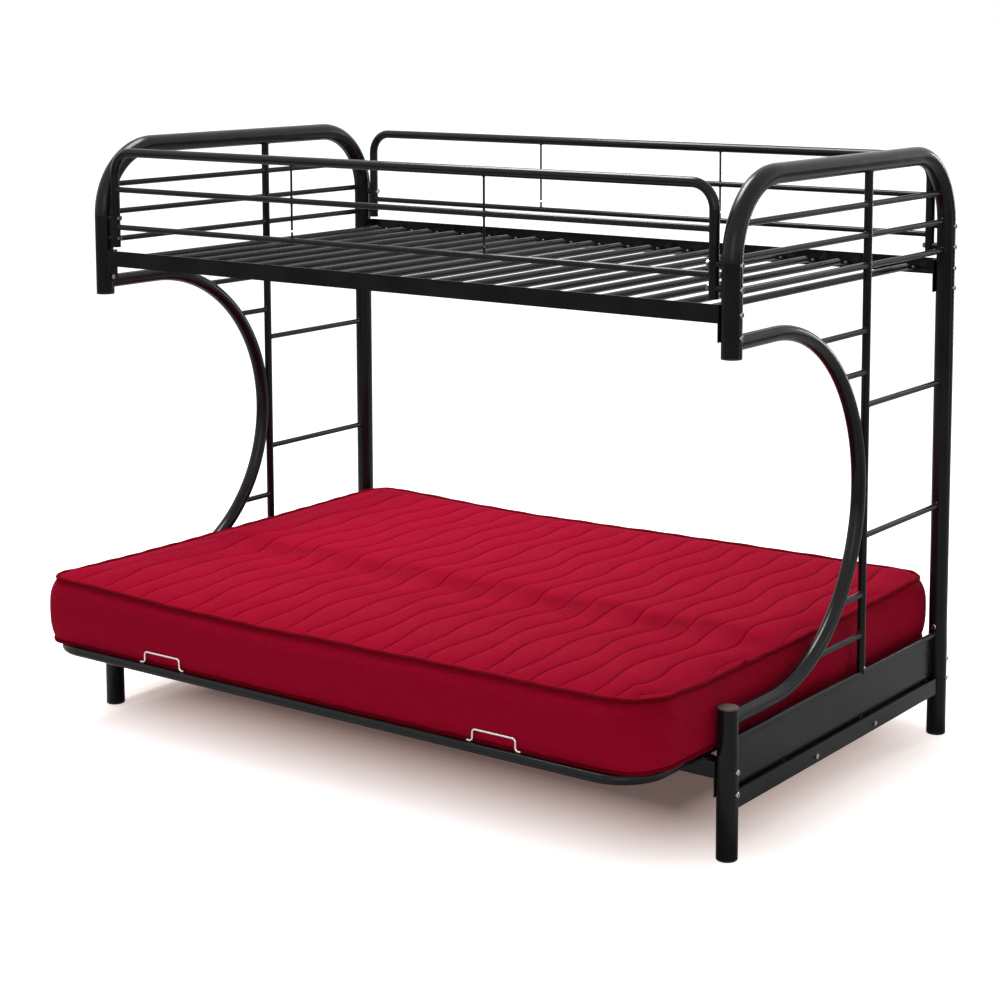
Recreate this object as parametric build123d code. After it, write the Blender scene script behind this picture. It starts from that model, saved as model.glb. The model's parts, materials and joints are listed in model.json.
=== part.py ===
from build123d import *
from math import radians, sqrt, tan
import os

os.makedirs("parts", exist_ok=True)

# A steel bunk bed over a futon that lies flat: a narrow bunk with guard rails above,
# and below it a folding futon deck with a full-size mattress, which reaches out in front.
# X runs along the bed, Y from front to back, Z up. Lengths are in millimetres, angles in degrees.
# Each end frame lies in a plane across X. Right-hand pieces are made, and mirrored for the left.

# Driving sizes of the whole bed
overall_height = 1651.0
post_spacing = 1140.0           # front to rear, between post centres
touch_gap = 0.3                 # left between pieces that rest on, or move past, each other
weld_gap = 0.1                  # left where a piece is shaped to the round tube that carries it

# Mattress, whose length sets the length of the bed
mattress_length = 1978.0        # at its welts
mattress_thickness = 167.0      # at its welts
mattress_front_inset = 20.0     # of the front welts behind the deck's front tube
mattress_rear_overhang = 18.0   # of the rear welts behind the deck's rear tube
mattress_crown = 14.0
mattress_bulge = 20.0
mattress_corner_radius = 90.0
quilt_rows = 25
quilt_rise = 3.0
fold_margin_angle = 1.0         # left between the two halves when they are folded

# Futon deck, in the bed position
deck_height = 255.0             # of the tube centres
deck_margin = 15.0              # from the mattress's end welts to the side tubes
guide_room = 63.0               # from a side tube to the end frame's plane, for hinge and guide
seat_length = 718.0             # from the hinge line to the front tube
back_length = 724.0             # from the hinge line to the rear tube, which lies over the rear rail
deck_corner_radius = 114.0
deck_tube_diameter = 25.4
deck_tube_wall = 1.5
cross_tube_diameter = 19.05
deck_slat_diameter = 15.9
deck_slat_wall = 1.2
hinge_end_gap = 14.0            # from the hinge line to the ends of the side tubes
cross_tube_offset = 32.0        # from the hinge line to each cross tube
deck_slat_count = 9
futon_travel = 320.0
fold_angle = 75.0

# Round tubes of the end frames: outer diameters and walls
post_diameter = 50.8
post_wall = 1.6
leg_diameter = 53.0
arc_diameter = 38.1
arc_wall = 1.5
stile_diameter = 22.2
rung_diameter = 15.9
rung_wall = 1.2

# End frame
arch_bend_radius = 195.0
short_post_length = 445.0       # from the top of the arch to the foot of the short post
leg_rise = 120.0                # of the front legs' tops above the deck's tubes
leg_neck_drops = (73.0, 129.0)  # of the two ends of a leg's taper, below the front leg's top
sleeve_joint_rise = 70.0        # where the rear post stands on its leg, above the deck's tubes
sleeve_length = 160.0
sleeve_wall = 2.0
sleeve_bolt_drop = 15.0         # of the sleeve's screw below the joint
arc_inset = 198.0               # from the front posts to the side arc's centre
arc_top_rise = 35.0             # of the side arc's upper end above the short post's foot
arc_foot_drop = 32.0            # of its lower end below the front leg's top
head_rung_drop = 133.0          # below the top of the arch
head_rung_step = 79.0
head_rung_count = 3
long_rung_rises = (206.0, -139.0)       # above the side arc's centre
short_rung_shares = (0.893, 0.653)      # of the side arc's radius, above and below its centre

# Plugs of the open tube ends, and feet
cap_height = 4.0
cap_plug_length = 18.0
cap_clearance = 0.2
foot_height = 6.0
foot_chamfer = 2.0

# Upper deck: side rails with end plates, and round slats with pressed ends on their flanges
rail_drop = 362.0               # of the rails' lower edges below the top of the arch
rail_height = 44.5
rail_flange = 36.0
rail_flange_rise = 10.0         # of the flange above the rail's lower edge
rail_thickness = 2.5
rail_stand_out = 18.0           # of the rail's face, in front of the post centres
end_plate_thickness = 3.0
end_plate_width = 40.0
end_plate_drop = 45.0           # below the rail
slat_diameter = 19.05
slat_wall = 1.2
slat_count = 19
slat_end_gap = 3.0
slat_margin = 69.0              # from the rails' ends to the outermost slats
slat_tab_width = 27.0
slat_tab_length = 36.0          # of the flat end of a slat
slat_press_length = 22.0        # over which the round tube is pressed flat
slat_press_flat = 0.6           # left flat in the middle of each pressed side

# Guard rails
guard_diameter = 25.4
guard_wall = 1.4
guard_bar_diameter = 15.9
guard_bar_wall = 1.2
guard_rod_diameter = 6.0
guard_drop = 38.0               # of the top tube's centre below the top of the arch
guard_inset = 49.0              # of the guard's legs from the posts
guard_leg_length = 270.0        # below the top tube's centre
guard_corner_radius = 62.0
guard_bar_drops = (106.0, 213.0)
guard_rod_share = 0.324         # of the half width of the guard
spacer_diameter = 18.0
spacer_wall = 3.0

# Bolts through the posts, each with its nut
bolt_diameter = 7.0
bolt_clearance = 0.3
bolt_head_diameter = 14.0
bolt_head_height = 4.5
bolt_head_chamfer = 1.5
nut_width = 13.0
nut_height = 6.0
hex_key_width = 4.5
hex_key_depth = 2.5
guard_bolt_drops = (187.0, 244.0)       # below the guard's top tube
rail_bolt_rises = (22.0, -32.0)         # above the lower edge of the upper rails
leg_bolt_drops = (20.0, 75.0)           # below the top of the lower rails

# Lower rails between the legs, and the pads on them that carry the deck
lower_rail_height = 41.0
lower_rail_flange = 38.0
lower_rail_stand_out = 15.0
lower_plate_height = 88.0
rest_pad_thickness = 3.0
rest_pad_width = 30.0
rest_pad_length = 34.0
rear_pad_share = 0.616          # of the deck's half width

# Lower end panel: top tube, pressed sheet and channel
panel_tube_diameter = 15.9
panel_tube_rise = 33.0          # above the deck's tubes
sheet_thickness = 1.2
sheet_recess = 2.0              # of the sheet's face behind the tube centres
sheet_flange = 9.0
sheet_step_height = 8.0         # of the strip along the channel that is stepped back
channel_drop = 67.0             # of the channel's lower edge below the guide slot
channel_height = 45.0
channel_depth = 26.0
channel_thickness = 2.5
channel_stand_out = 13.0        # of the channel's face beyond the tube centres

# Futon hinges
hinge_plate_thickness = 4.0
hinge_plate_reach = 82.0
hinge_plate_taper = 1.4         # of a plate's toes, from the radius of its eye
hinge_pin_diameter = 10.0
hinge_clearance = 0.05
hinge_head_diameter = 17.0
hinge_head_height = 5.0
hinge_spacer_diameter = 17.0

# Slotted guides on the end panels, and the glides that run in them
slot_drop = 67.0                # of the slot's centre below the deck's tubes
guide_thickness = 3.0
guide_margin = 44.0             # of plate beyond the bolts at each end
guide_rise = 32.0               # of plate above the slot's centre
guide_corner_radius = 12.0
guide_bolt_rise = 18.0          # above the channel's lower edge
guide_bolt_width = 13.0
glide_diameter = 16.0
glide_clearance = 0.5
glide_flange_diameter = 26.0
glide_flange_thickness = 3.0
stud_diameter = 14.0
stud_end_diameter = 8.0
stud_head_height = 3.0

# Wire retainers that stop the mattress, on the front tube
retainer_shares = (-0.549, 0.586)       # of the deck's half width
retainer_wire = 6.0
retainer_width = 128.0
retainer_height = 30.0
retainer_foot = 16.0
retainer_bend = 9.0

# Places that follow from the sizes above
post_y = post_spacing / 2
post_radius = post_diameter / 2
post_bore = post_diameter - 2 * post_wall
leg_radius = leg_diameter / 2
deck_radius = deck_tube_diameter / 2
deck_top = deck_height + deck_radius
deck_half_width = mattress_length / 2 - deck_margin
end_x = deck_half_width + guide_room
arch_height = overall_height - post_radius
post_inner_face = end_x - post_radius
post_outer_face = end_x + post_radius
leg_inner_face = end_x - leg_radius
leg_outer_face = end_x + leg_radius
short_post_bottom = overall_height - short_post_length
rail_bottom = overall_height - rail_drop
rail_top = rail_bottom + rail_height
guard_height = overall_height - guard_drop
guard_leg_x = end_x - guard_inset
guard_leg_bottom = guard_height - guard_leg_length
guard_bolt_heights = [guard_height - drop for drop in guard_bolt_drops]
rail_bolt_heights = [rail_bottom + rise for rise in rail_bolt_rises]
leg_height = deck_height + leg_rise
leg_neck_high, leg_neck_low = [leg_height - drop for drop in leg_neck_drops]
sleeve_joint_height = deck_height + sleeve_joint_rise
lower_rail_top = deck_height - deck_radius - touch_gap - rest_pad_thickness
leg_bolt_heights = [lower_rail_top - drop for drop in leg_bolt_drops]
panel_tube_height = deck_height + panel_tube_rise
slot_height = deck_height - slot_drop
channel_bottom = slot_height - channel_drop
channel_top = channel_bottom + channel_height
guide_bolt_height = channel_bottom + guide_bolt_rise
back_rear_y = post_y
hinge_y = back_rear_y - back_length
seat_front_y = hinge_y - seat_length
mattress_front_y = seat_front_y + mattress_front_inset
mattress_rear_y = back_rear_y + mattress_rear_overhang
overrun = post_diameter         # of a cut past the faces that it opens

# The bed stands with the middle of its plan box at the origin.
plan_centre_y = (seat_front_y - deck_radius + mattress_rear_y + mattress_bulge) / 2


def rod(start, end, diameter, bore=0.0):
    """A straight round bar from one point to another, or a tube when it has a bore."""
    run = Vector(*end) - Vector(*start)
    section = Circle(diameter / 2)
    if bore:
        section -= Circle(bore / 2)
    return extrude(Plane(origin=start, z_dir=run) * section, amount=run.length)


def bent(points, bend_radius, diameter, bore=0.0):
    """A round bar or tube along a line of points, bent to one radius at each point between its ends."""
    section = Circle(diameter / 2)
    if bore:
        section -= Circle(bore / 2)
    places = [Vector(*point) for point in points]
    start = places[0]
    pieces = []
    for before, corner, after in zip(places, places[1:], places[2:]):
        heading = (corner - before).normalized()
        turned = (after - corner).normalized()
        turn = heading.get_angle(turned)
        setback = bend_radius * tan(radians(turn / 2))
        bend_start = corner - heading * setback
        bend_axis = heading.cross(turned).normalized()
        bend_centre = bend_start + bend_axis.cross(heading) * bend_radius
        if (bend_start - start).length > touch_gap:
            pieces.append(rod(start, bend_start, diameter, bore))
        ring = Plane(origin=bend_start, z_dir=heading) * section
        pieces.append(revolve(ring, Axis(bend_centre, bend_axis), turn))
        start = corner + turned * setback
    pieces.append(rod(start, places[-1], diameter, bore))
    return pieces[0] + pieces[1:]


def across(x_start, x_end, y, z, diameter, bore=0.0):
    """A bar or tube that runs along the bed."""
    return rod((x_start, y, z), (x_end, y, z), diameter, bore)


def upright(x, y, z_start, z_end, diameter, bore=0.0):
    """A standing bar or tube."""
    return rod((x, y, z_start), (x, y, z_end), diameter, bore)


def block(x_range, y_range, z_range):
    """A rectangular block between three pairs of limits."""
    lows = [min(limits) for limits in (x_range, y_range, z_range)]
    sizes = [abs(limits[1] - limits[0]) for limits in (x_range, y_range, z_range)]
    return Pos(*lows) * Box(*sizes, align=(Align.MIN, Align.MIN, Align.MIN))


def save(name, *shapes):
    """Write one named piece, or a group of like pieces, in the bed's own frame."""
    shape = shapes[0] if len(shapes) == 1 else Compound(children=list(shapes))
    export_step(Pos(0, -plan_centre_y, 0) * shape, f"parts/{name}.step")


def to_left(shape):
    return mirror(shape, about=Plane.YZ)


def to_rear(shape):
    return mirror(shape, about=Plane.XZ)


def both_ends(*shapes):
    return [*shapes, *[to_left(shape) for shape in shapes]]


def save_ends(name, *shapes):
    """Write the right-hand piece, and its mirror image for the left end."""
    save(f"{name}_right", *shapes)
    save(f"{name}_left", *[to_left(shape) for shape in shapes])


def bolt_holes(heights, y, x_start, x_end):
    size = bolt_diameter + 2 * bolt_clearance
    return [across(x_start, x_end, y, height, size) for height in heights]


# End arches: the short front post, the top rail and the long rear post are one bent tube
arch_points = [
    (end_x, -post_y, short_post_bottom + cap_height),
    (end_x, -post_y, arch_height),
    (end_x, post_y, arch_height),
    (end_x, post_y, sleeve_joint_height),
]
arch_outside = bent(arch_points, arch_bend_radius, post_diameter + 2 * weld_gap)
arch = bent(arch_points, arch_bend_radius, post_diameter, post_bore)
for side_y in (-post_y, post_y):
    arch -= bolt_holes(guard_bolt_heights + rail_bolt_heights, side_y, end_x - overrun, end_x + overrun)


# Front legs, and rear legs with the sleeves that join them to the arches
def leg_solid(y, low, high, inset):
    """A leg as a solid bar, wide below and necked to the post's size above, with inset taken off all round."""
    foot_radius = leg_radius - inset
    neck_radius = post_radius - inset
    half_outline = Polyline(
        (0, low),
        (foot_radius, low),
        (foot_radius, leg_neck_low),
        (neck_radius, leg_neck_high),
        (neck_radius, high),
        (0, high),
        close=True,
    )
    return Pos(end_x, y, 0) * revolve(Plane.XZ * make_face(half_outline), Axis.Z)


front_leg_outside = leg_solid(-post_y, 0, leg_height, -weld_gap)
rear_leg_outside = leg_solid(post_y, 0, sleeve_joint_height, -weld_gap)
front_leg_ends = (foot_height, leg_height - cap_height)
rear_leg_ends = (foot_height, sleeve_joint_height)
front_leg = leg_solid(-post_y, *front_leg_ends, 0) - leg_solid(-post_y, *front_leg_ends, post_wall)
rear_leg = leg_solid(post_y, *rear_leg_ends, 0) - leg_solid(post_y, *rear_leg_ends, post_wall)
front_leg -= bolt_holes(leg_bolt_heights, -post_y, end_x - overrun, end_x + overrun)
rear_leg -= bolt_holes(leg_bolt_heights, post_y, end_x - overrun, end_x + overrun)

sleeve_diameter = post_bore - 2 * cap_clearance
sleeve_low = sleeve_joint_height - sleeve_length / 2
sleeve_high = sleeve_joint_height + sleeve_length / 2
sleeve_bolt_height = sleeve_joint_height - sleeve_bolt_drop
sleeve = upright(end_x, post_y, sleeve_low, sleeve_high, sleeve_diameter, sleeve_diameter - 2 * sleeve_wall)
sleeve_hole = rod(
    (end_x, post_y - overrun, sleeve_bolt_height),
    (end_x, post_y, sleeve_bolt_height),
    bolt_diameter + 2 * bolt_clearance,
)
sleeve -= sleeve_hole
rear_leg -= sleeve_hole

# Side arcs, which curve from the short post round to the top of the front leg
arc_low = leg_height - arc_foot_drop
arc_high = short_post_bottom + arc_top_rise
arc_radius = (arc_high - arc_low) / 2
arc_height = (arc_high + arc_low) / 2
arc_centre_y = -post_y + arc_inset
arc_points = [
    (end_x, -post_y, arc_high),
    (end_x, arc_centre_y + arc_radius, arc_high),
    (end_x, arc_centre_y + arc_radius, arc_low),
    (end_x, -post_y, arc_low),
]
arc_outside = bent(arc_points, arc_radius, arc_diameter + 2 * weld_gap)
side_arc = bent(arc_points, arc_radius, arc_diameter, arc_diameter - 2 * arc_wall)
side_arc -= [arch_outside, front_leg_outside]

# Ladder stile, from the panel's top tube to the arch, just behind the side arc
stile_y = arc_centre_y + arc_radius + (arc_diameter + stile_diameter) / 2
stile_ends = (end_x, stile_y, panel_tube_height, arch_height)
stile_outside = upright(*stile_ends, stile_diameter + 2 * weld_gap)
stile = upright(*stile_ends, stile_diameter, stile_diameter - 2 * rung_wall)
panel_tube_ends = ((end_x, -post_y, panel_tube_height), (end_x, post_y, panel_tube_height))
stile -= [arch_outside, rod(*panel_tube_ends, panel_tube_diameter + 2 * weld_gap)]


def rung(y_start, y_end, height, *neighbours):
    """A round rung along the end frame, with its ends shaped to the tubes that it meets."""
    bore = rung_diameter - 2 * rung_wall
    piece = rod((end_x, y_start, height), (end_x, y_end, height), rung_diameter, bore)
    return piece - list(neighbours)


# Rungs: three at the head of the bunk, two long ladder rungs, and short ones beside the arc
head_rungs = []
for index in range(head_rung_count):
    height = overall_height - head_rung_drop - index * head_rung_step
    head_rungs.append(rung(-post_y, stile_y, height, arch_outside, stile_outside))
    head_rungs.append(rung(stile_y, post_y, height, arch_outside, stile_outside))
ladder_rungs = [
    rung(stile_y, post_y, arc_height + rise, arch_outside, stile_outside) for rise in long_rung_rises
]
short_rungs = []
for share in short_rung_shares:
    arc_y = arc_centre_y + arc_radius * sqrt(1 - share**2)
    for height in (arc_height + arc_radius * share, arc_height - arc_radius * share):
        short_rungs.append(rung(arc_y, stile_y, height, arc_outside, stile_outside))

save_ends("end_arch", arch)
save_ends("front_leg", front_leg)
save_ends("rear_leg", rear_leg)
save_ends("side_arc", side_arc)
save_ends("ladder_stile", stile)
save_ends("head_rungs", *head_rungs)
save_ends("ladder_rungs", *ladder_rungs)
save_ends("short_rungs", *short_rungs)
save("post_sleeves", *both_ends(sleeve))


# Plastic plugs in the open tube ends, and feet under the legs
def plug(y, face_height, head_height, direction, diameter):
    """A round plug: its head covers the tube's end, and its body fits the bore above or below."""
    head_end = face_height + direction * head_height
    head = upright(end_x, y, face_height, head_end, diameter)
    plug_end = head_end + direction * cap_plug_length
    return head + upright(end_x, y, head_end, plug_end, diameter - 2 * (post_wall + cap_clearance))


def foot(y):
    piece = plug(y, 0, foot_height, 1, leg_diameter)
    return chamfer(piece.edges().sort_by(Axis.Z)[0], foot_chamfer)


save("short_post_caps", *both_ends(plug(-post_y, short_post_bottom, cap_height, 1, post_diameter)))
save("front_leg_caps", *both_ends(plug(-post_y, leg_height, cap_height, -1, post_diameter)))
save("leg_feet", *both_ends(foot(-post_y), foot(post_y)))


# Side rails: a web with a flange along it, and a bolting plate welded on each end
def side_rail(face_y, edges, flange_low, flange, plate_low, holes, end_face):
    """A front rail. Its web stands between two edges, and end_face is the post that it is bolted to."""
    rail_end = end_face - end_plate_thickness
    web = block((-rail_end, rail_end), (face_y, face_y + rail_thickness), edges)
    shelf_z = (flange_low, flange_low + rail_thickness)
    rail = web + block((-rail_end, rail_end), (face_y, face_y + flange), shelf_z)
    for x_range in ((rail_end, end_face), (-rail_end, -end_face)):
        plate = block(x_range, (face_y, face_y + end_plate_width), (plate_low, edges[1]))
        rail += plate - bolt_holes(holes, -post_y, x_range[0] - overrun, x_range[0] + overrun)
    return rail


rail_face_y = -post_y - rail_stand_out
flange_low = rail_bottom + rail_flange_rise
upper_rail = side_rail(
    rail_face_y, (rail_bottom, rail_top), flange_low, rail_flange, rail_bottom - end_plate_drop,
    rail_bolt_heights, post_inner_face,
)
lower_face_y = -post_y - lower_rail_stand_out
lower_rail = side_rail(
    lower_face_y, (lower_rail_top - lower_rail_height, lower_rail_top), lower_rail_top - rail_thickness,
    lower_rail_flange, lower_rail_top - lower_plate_height, leg_bolt_heights, leg_inner_face,
)
save("upper_rail_front", upper_rail)
save("upper_rail_rear", to_rear(upper_rail))
save("lower_rail_front", lower_rail)
save("lower_rail_rear", to_rear(lower_rail))

# Upper deck slats: round tubes whose ends are pressed flat and lie on the flanges of the side rails
slat_rest = flange_low + rail_thickness + weld_gap
slat_height = slat_rest + slat_diameter / 2
slat_end_y = rail_face_y + rail_thickness + slat_end_gap
slat_tab_y = slat_end_y + slat_tab_length
slat_tube_y = slat_tab_y + slat_press_length
slat_tab_thickness = 2 * slat_wall


def slat_section(y, width, height):
    """The outline of a slat that rests on the flange, as it crosses one place along the tube."""
    plane = Plane(origin=(0, y, slat_rest + height / 2), x_dir=(1, 0, 0), z_dir=(0, -1, 0))
    return plane * RectangleRounded(width, height, (height - slat_press_flat) / 2)


slat_tab = block(
    (-slat_tab_width / 2, slat_tab_width / 2),
    (slat_end_y, slat_tab_y),
    (slat_rest, slat_rest + slat_tab_thickness),
)
slat_press = loft(
    [
        slat_section(slat_tube_y, slat_diameter, slat_diameter),
        slat_section(slat_tab_y, slat_tab_width, slat_tab_thickness),
    ],
    ruled=True,
)
slat_bore = slat_diameter - 2 * slat_wall
slat = rod((0, slat_tube_y, slat_height), (0, -slat_tube_y, slat_height), slat_diameter, slat_bore)
slat += [slat_tab, slat_press, to_rear(slat_tab), to_rear(slat_press)]
slat_span = 2 * (post_inner_face - end_plate_thickness - slat_margin)
slat_places = [(index / (slat_count - 1) - 1 / 2) * slat_span for index in range(slat_count)]
save("upper_deck_slats", *[Pos(x, 0, 0) * slat for x in slat_places])


# Guard rails: a bent tube with two bars and two thin rods welded in
guard_points = [
    (-guard_leg_x, -post_y, guard_leg_bottom),
    (-guard_leg_x, -post_y, guard_height),
    (guard_leg_x, -post_y, guard_height),
    (guard_leg_x, -post_y, guard_leg_bottom),
]
guard_bar_heights = [guard_height - drop for drop in guard_bar_drops]
guard_rod_x = guard_rod_share * guard_leg_x
guard = bent(guard_points, guard_corner_radius, guard_diameter)
for height in guard_bar_heights:
    guard += across(-guard_leg_x, guard_leg_x, -post_y, height, guard_bar_diameter)
for x in (-guard_rod_x, guard_rod_x):
    guard += upright(x, -post_y, guard_bar_heights[-1], guard_height, guard_rod_diameter)
guard -= bent(guard_points, guard_corner_radius, guard_diameter - 2 * guard_wall)
for height in guard_bar_heights:
    guard -= across(-guard_leg_x, guard_leg_x, -post_y, height, guard_bar_diameter - 2 * guard_bar_wall)
guard -= bolt_holes(guard_bolt_heights, -post_y, -end_x, end_x)
save("guard_rail_front", guard)
save("guard_rail_rear", to_rear(guard))

# Spacers between the guard legs and the posts, saddled to both
spacers = []
guard_leg_outside = upright(guard_leg_x, -post_y, guard_leg_bottom, guard_height, guard_diameter + 2 * weld_gap)
post_outside = upright(end_x, -post_y, guard_leg_bottom, guard_height, post_diameter + 2 * weld_gap)
for height in guard_bolt_heights:
    spacer = across(guard_leg_x, end_x, -post_y, height, spacer_diameter, spacer_diameter - 2 * spacer_wall)
    spacers += both_ends(spacer - [guard_leg_outside, post_outside])
save("guard_spacers", *spacers, *[to_rear(piece) for piece in spacers])


# Bolts, each with a domed head outside the post and its nut at the far end
def post_bolt(y, height, head_face, grip_end):
    """A bolt along the bed, from its head on the tube's outer face to the nut at grip_end."""
    head = across(head_face, head_face + bolt_head_height, y, height, bolt_head_diameter)
    head = chamfer(head.edges().sort_by(Axis.X)[-1], bolt_head_chamfer)
    key_plane = Plane(origin=(head_face + bolt_head_height, y, height), z_dir=(1, 0, 0))
    head -= extrude(key_plane * RegularPolygon(hex_key_width / 2, 6, major_radius=False), amount=-hex_key_depth)
    nut_plane = Plane(origin=(grip_end, y, height), z_dir=(-1, 0, 0))
    nut = extrude(nut_plane * RegularPolygon(nut_width / 2, 6, major_radius=False), amount=nut_height)
    return head + across(grip_end, head_face, y, height, bolt_diameter) + nut


def post_bolts(heights, head_face, grip_end):
    """The bolts of the front and rear posts at both ends of the bed."""
    places = [(side_y, height) for side_y in (-post_y, post_y) for height in heights]
    return both_ends(*[post_bolt(side_y, height, head_face, grip_end) for side_y, height in places])


guard_grip = guard_leg_x - guard_diameter / 2
rail_grip = post_inner_face - end_plate_thickness
leg_grip = leg_inner_face - end_plate_thickness
save("guard_bolts", *post_bolts(guard_bolt_heights, post_outer_face, guard_grip))
save("rail_bolts", *post_bolts(rail_bolt_heights, post_outer_face, rail_grip))
save("leg_bolts", *post_bolts(leg_bolt_heights, leg_outer_face, leg_grip))

sleeve_screw_face = post_y - post_radius
sleeve_screw = rod(
    (end_x, sleeve_screw_face, sleeve_bolt_height),
    (end_x, sleeve_screw_face - bolt_head_height, sleeve_bolt_height),
    bolt_head_diameter,
)
sleeve_screw = chamfer(sleeve_screw.edges().sort_by(Axis.Y)[0], bolt_head_chamfer)
sleeve_screw += rod(
    (end_x, sleeve_screw_face, sleeve_bolt_height),
    (end_x, post_y - sleeve_diameter / 2 + nut_height, sleeve_bolt_height),
    bolt_diameter,
)
save("sleeve_screws", *both_ends(sleeve_screw))

# Lower end panels: the top tube, a pressed sheet under it, and the channel below
panel_tube = rod(*panel_tube_ends, panel_tube_diameter, panel_tube_diameter - 2 * rung_wall)
panel_tube -= [front_leg_outside, rear_leg_outside]
sheet_face = end_x - sheet_recess
sheet_top = panel_tube_height - panel_tube_diameter / 2 - touch_gap
sheet_low = channel_top
sheet_y = post_y - leg_radius - touch_gap
ledge_top = sheet_low + sheet_step_height
ledge_low = ledge_top - sheet_thickness
sheet_x = (sheet_face - sheet_thickness, sheet_face)
flange_x = (sheet_face - sheet_flange, sheet_face)
strip_x = (sheet_face - sheet_flange, sheet_face - sheet_flange + sheet_thickness)
sheet = block(sheet_x, (-sheet_y, sheet_y), (ledge_low, sheet_top))
sheet += block(flange_x, (-sheet_y, sheet_y), (ledge_low, ledge_top))
sheet += block(strip_x, (-sheet_y, sheet_y), (sheet_low, ledge_top))
sheet += block(flange_x, (-sheet_y, sheet_y), (sheet_top - sheet_thickness, sheet_top))

channel_face = end_x + channel_stand_out
channel_back = channel_face - channel_depth
guide_bolt_places = (hinge_y, hinge_y + futon_travel)
channel = block((channel_back, channel_face), (-post_y, post_y), (channel_bottom, channel_top))
channel -= block(
    (channel_back - overrun, channel_face - channel_thickness),
    (-post_y, post_y),
    (channel_bottom + channel_thickness, channel_top - channel_thickness),
)
channel -= [front_leg_outside, rear_leg_outside]
channel -= [
    across(channel_back, channel_face + overrun, y, guide_bolt_height, bolt_diameter + 2 * bolt_clearance)
    for y in guide_bolt_places
]
save_ends("panel_top_tube", panel_tube)
save_ends("panel_sheet", sheet)
save_ends("panel_channel", channel)

# Slotted guide plates on the channels, with their hex bolts
guide_inner = channel_back - guide_thickness
guide_top = slot_height + guide_rise
guide_middle_y = hinge_y + futon_travel / 2
guide_middle_z = (channel_bottom + guide_top) / 2
guide_plane = Plane(origin=(guide_inner, guide_middle_y, guide_middle_z), x_dir=(0, 1, 0), z_dir=(1, 0, 0))
guide_plate = extrude(
    guide_plane
    * RectangleRounded(futon_travel + 2 * guide_margin, guide_top - channel_bottom, guide_corner_radius),
    amount=guide_thickness,
)
slot_plane = Plane(origin=(guide_inner, guide_middle_y, slot_height), x_dir=(0, 1, 0), z_dir=(1, 0, 0))
slot_width = glide_diameter + 2 * glide_clearance
guide_plate -= extrude(slot_plane * SlotCenterToCenter(futon_travel, slot_width), amount=guide_thickness)
guide_plate -= [
    across(guide_inner, channel_back, y, guide_bolt_height, bolt_diameter + 2 * bolt_clearance)
    for y in guide_bolt_places
]


def guide_bolt(y):
    head_plane = Plane(origin=(channel_face, y, guide_bolt_height), z_dir=(1, 0, 0))
    nut_plane = Plane(origin=(guide_inner, y, guide_bolt_height), z_dir=(-1, 0, 0))
    hexagon = RegularPolygon(guide_bolt_width / 2, 6, major_radius=False)
    bolt = extrude(head_plane * hexagon, amount=bolt_head_height)
    bolt += extrude(nut_plane * hexagon, amount=nut_height)
    return bolt + across(guide_inner, channel_face, y, guide_bolt_height, bolt_diameter)


save_ends("guide_plate", guide_plate)
save("guide_bolts", *both_ends(*[guide_bolt(y) for y in guide_bolt_places]))

# Rest pads on the flanges of the lower rails, which carry the deck
def rest_pad(x):
    pad_front = lower_face_y + (lower_rail_flange - rest_pad_length) / 2
    return block(
        (x - rest_pad_width / 2, x + rest_pad_width / 2),
        (pad_front, pad_front + rest_pad_length),
        (lower_rail_top, lower_rail_top + rest_pad_thickness),
    )


rear_pad_x = rear_pad_share * deck_half_width
save("deck_rest_pads", *both_ends(rest_pad(deck_half_width), to_rear(rest_pad(rear_pad_x))))


# Futon deck: a seat frame and a back frame, each a bent tube with a cross tube and slats
def deck_frame(closed_y, direction):
    """One half of the deck. Its closed side is at closed_y, and its open ends face the hinge line."""
    end_y = hinge_y + direction * hinge_end_gap
    cross_y = hinge_y + direction * cross_tube_offset
    points = [
        (-deck_half_width, end_y, deck_height),
        (-deck_half_width, closed_y, deck_height),
        (deck_half_width, closed_y, deck_height),
        (deck_half_width, end_y, deck_height),
    ]
    slat_pitch = 2 * deck_half_width / (deck_slat_count + 1)
    bars = [(across, (-deck_half_width, deck_half_width, cross_y, deck_height), cross_tube_diameter, rung_wall)]
    for index in range(deck_slat_count):
        x = (index + 1) * slat_pitch - deck_half_width
        ends = ((x, closed_y, deck_height), (x, cross_y, deck_height))
        bars.append((rod, ends, deck_slat_diameter, deck_slat_wall))
    frame = bent(points, deck_corner_radius, deck_tube_diameter)
    frame += [make(*where, size) for make, where, size, wall in bars]
    bores = [make(*where, size - 2 * wall) for make, where, size, wall in bars]
    return frame - [bent(points, deck_corner_radius, deck_tube_diameter - 2 * deck_tube_wall), *bores]


save("seat_deck_frame", deck_frame(seat_front_y, -1))
save("back_deck_frame", deck_frame(back_rear_y, 1))


# Hinge plates: the seat's hang down outside to the guides, the back's lie inside
def hinge_plate(x, lobes):
    plane = Plane(origin=(x, 0, 0), x_dir=(0, 1, 0), z_dir=(1, 0, 0))
    circles = Sketch() + [Pos(y, z) * Circle(radius) for y, z, radius in lobes]
    return extrude(plane * make_hull(circles.edges()), amount=hinge_plate_thickness)


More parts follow.
